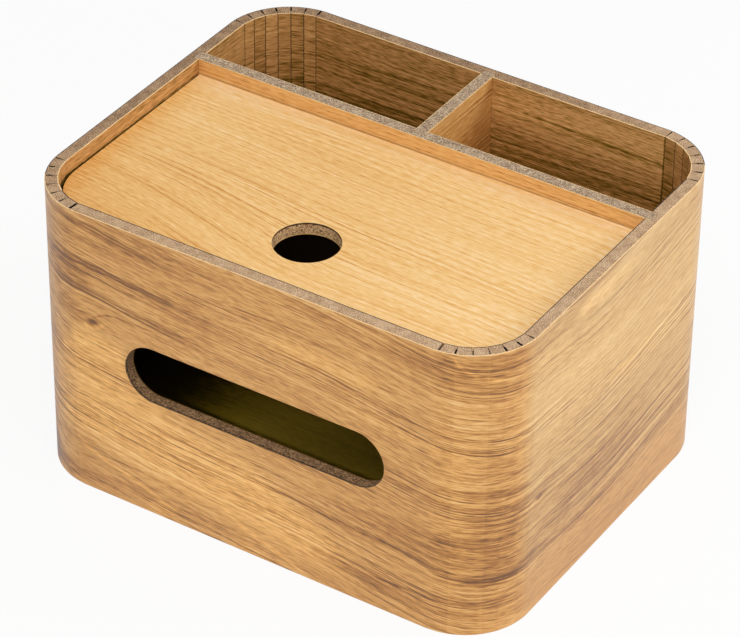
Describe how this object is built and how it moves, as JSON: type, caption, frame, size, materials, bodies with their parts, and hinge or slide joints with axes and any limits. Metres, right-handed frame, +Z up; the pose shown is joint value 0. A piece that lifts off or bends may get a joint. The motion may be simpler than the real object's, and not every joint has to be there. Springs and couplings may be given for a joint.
{
  "type": "tissue case",
  "caption": "Bent-board tissue case with a round-ended slot in front, a lift-off lid with a finger hole, and open compartments behind a divider.",
  "frame": {"origin": "on the ground under the middle of the case", "axes": "+X along the case's width, +Y from the slotted front to the rear compartments, +Z up"},
  "size_m": [0.26, 0.21, 0.158],
  "materials": {
    "ash_veneer_outside": "oiled, satin",
    "ash_veneer_inside": "oiled, satin",
    "ash_veneer_lid": "oiled, satin",
    "ash_strip": "planed, matt",
    "fibreboard": "raw, sanded"
  },
  "bodies": {
    "case": {"cross_divider_core": "fibreboard", "cross_divider_left_veneer": "ash_veneer_inside", "cross_divider_right_veneer": "ash_veneer_inside", "floor_core": "fibreboard", "floor_top_veneer": "ash_veneer_inside", "floor_underside_veneer": "ash_veneer_inside", "front_lid_rest": "ash_strip", "rear_divider_core": "fibreboard", "rear_divider_front_veneer": "ash_veneer_inside", "rear_divider_rear_veneer": "ash_veneer_inside", "rear_lid_rest": "ash_strip", "wall_core": "fibreboard", "wall_inner_veneer_front": "ash_veneer_inside", "wall_inner_veneer_front_left_corner": "ash_veneer_inside", "wall_inner_veneer_front_right_corner": "ash_veneer_inside", "wall_inner_veneer_left": "ash_veneer_inside", "wall_inner_veneer_rear": "ash_veneer_inside", "wall_inner_veneer_rear_left_corner": "ash_veneer_inside", "wall_inner_veneer_rear_right_corner": "ash_veneer_inside", "wall_inner_veneer_right": "ash_veneer_inside", "wall_outer_veneer": "ash_veneer_outside"},
    "lid": {"lid_core": "fibreboard", "lid_top_veneer": "ash_veneer_lid", "lid_underside_veneer": "ash_veneer_lid"}
  },
  "joints": [
    {"name": "lid_lift", "type": "slide", "parent": "case", "child": "lid", "axis": [0, 0, 1], "range_m": [0, 0.08]}
  ]
}
